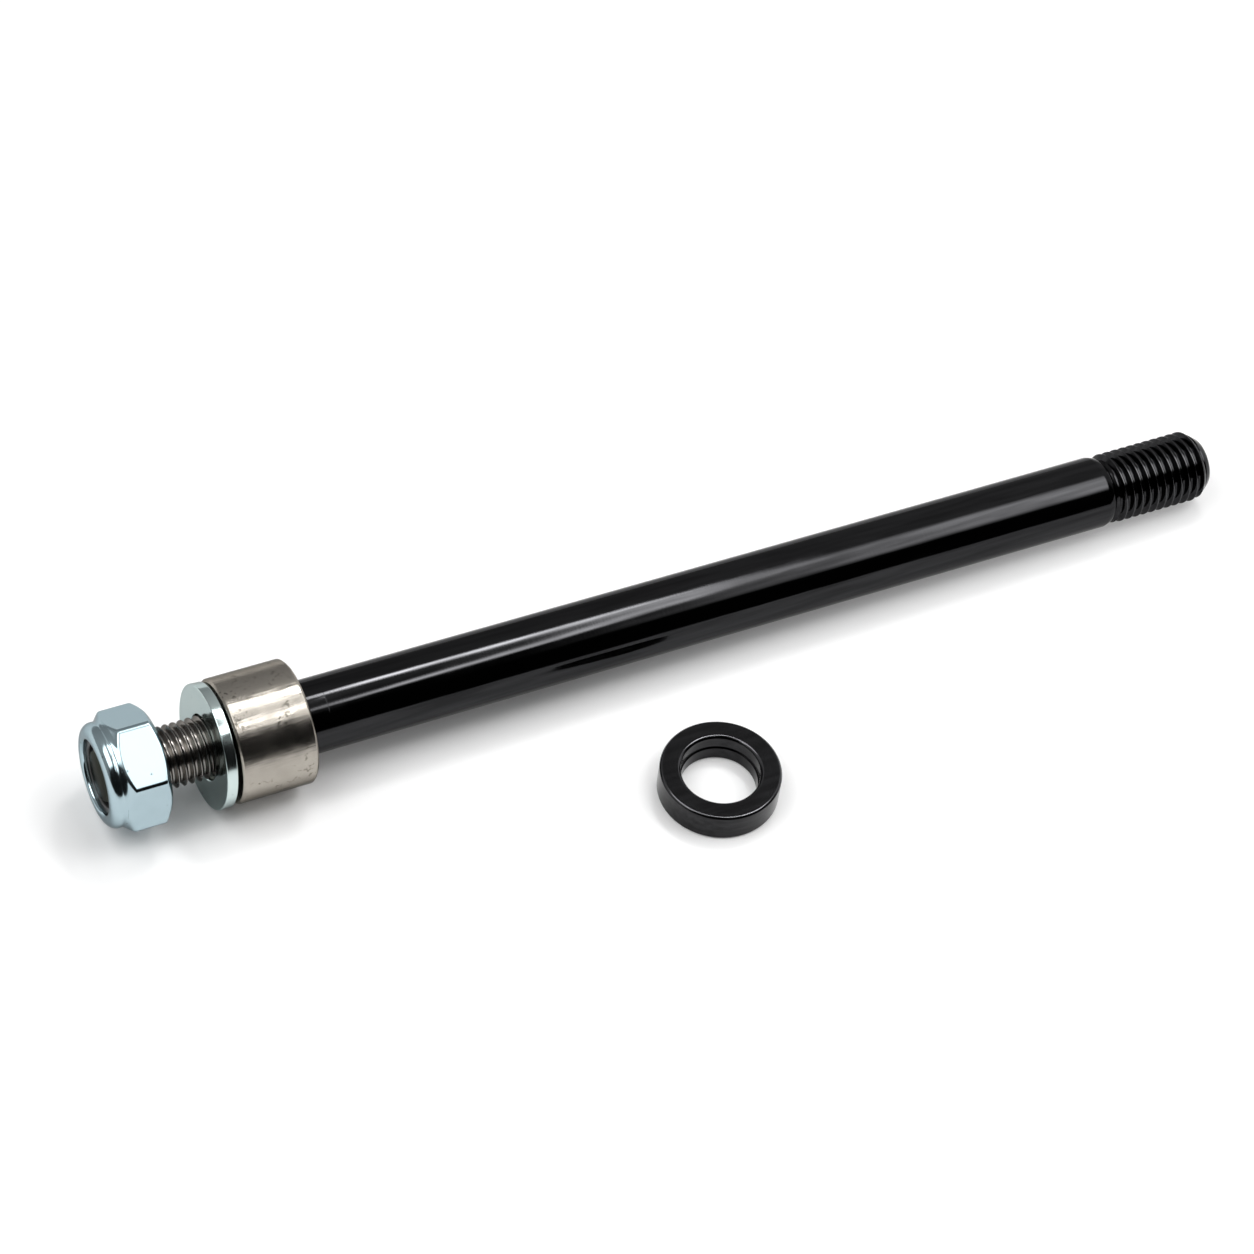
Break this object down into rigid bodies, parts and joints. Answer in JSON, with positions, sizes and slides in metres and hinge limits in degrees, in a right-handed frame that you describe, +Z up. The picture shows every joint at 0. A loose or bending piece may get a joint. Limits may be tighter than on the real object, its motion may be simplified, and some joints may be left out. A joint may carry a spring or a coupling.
{
  "type": "thru axle adapter",
  "caption": "Black threaded thru axle with a steel seat collar, a stud with washer and lock nut for a hitch, and a loose spacer ring; lies at rest.",
  "frame": {"origin": "on the floor, under the middle of the axle and its spacer", "axes": "+X along the axle towards its threaded tip, +Y away from the spacer, +Z up"},
  "size_m": [0.1956, 0.0488, 0.0206],
  "materials": {
    "black_anodised": "gloss black anodised, fine turned",
    "turned_stainless": "turned stainless, lightly handled",
    "bright_zinc": "bright zinc plate, blue passivated",
    "dark_nylon": "moulded nylon"
  },
  "bodies": {
    "axle": {"axle_shaft": "black_anodised", "collar_stud": "turned_stainless", "flat_washer": "bright_zinc", "spacer_ring": "black_anodised"},
    "nut_ring": {"nylon_ring": "dark_nylon"},
    "nut": {"lock_nut": "bright_zinc"}
  },
  "joints": [
    {"name": "nut_travel", "type": "slide", "parent": "axle", "child": "nut_ring", "axis": [0.9997, 0, -0.0258], "range_m": [-0.0089, 0.0072]},
    {"name": "nut_turn", "type": "hinge", "parent": "nut_ring", "child": "nut", "pos_m": [-0.09281, 0.01438, 0.01071], "axis": [0.9997, 0, -0.0258], "range_deg": [-2563.2, 2073.6]}
  ],
  "couplings": [
    {"joint": "nut_travel", "follows": "nut_turn", "m_per_rad": 0.00019894}
  ]
}
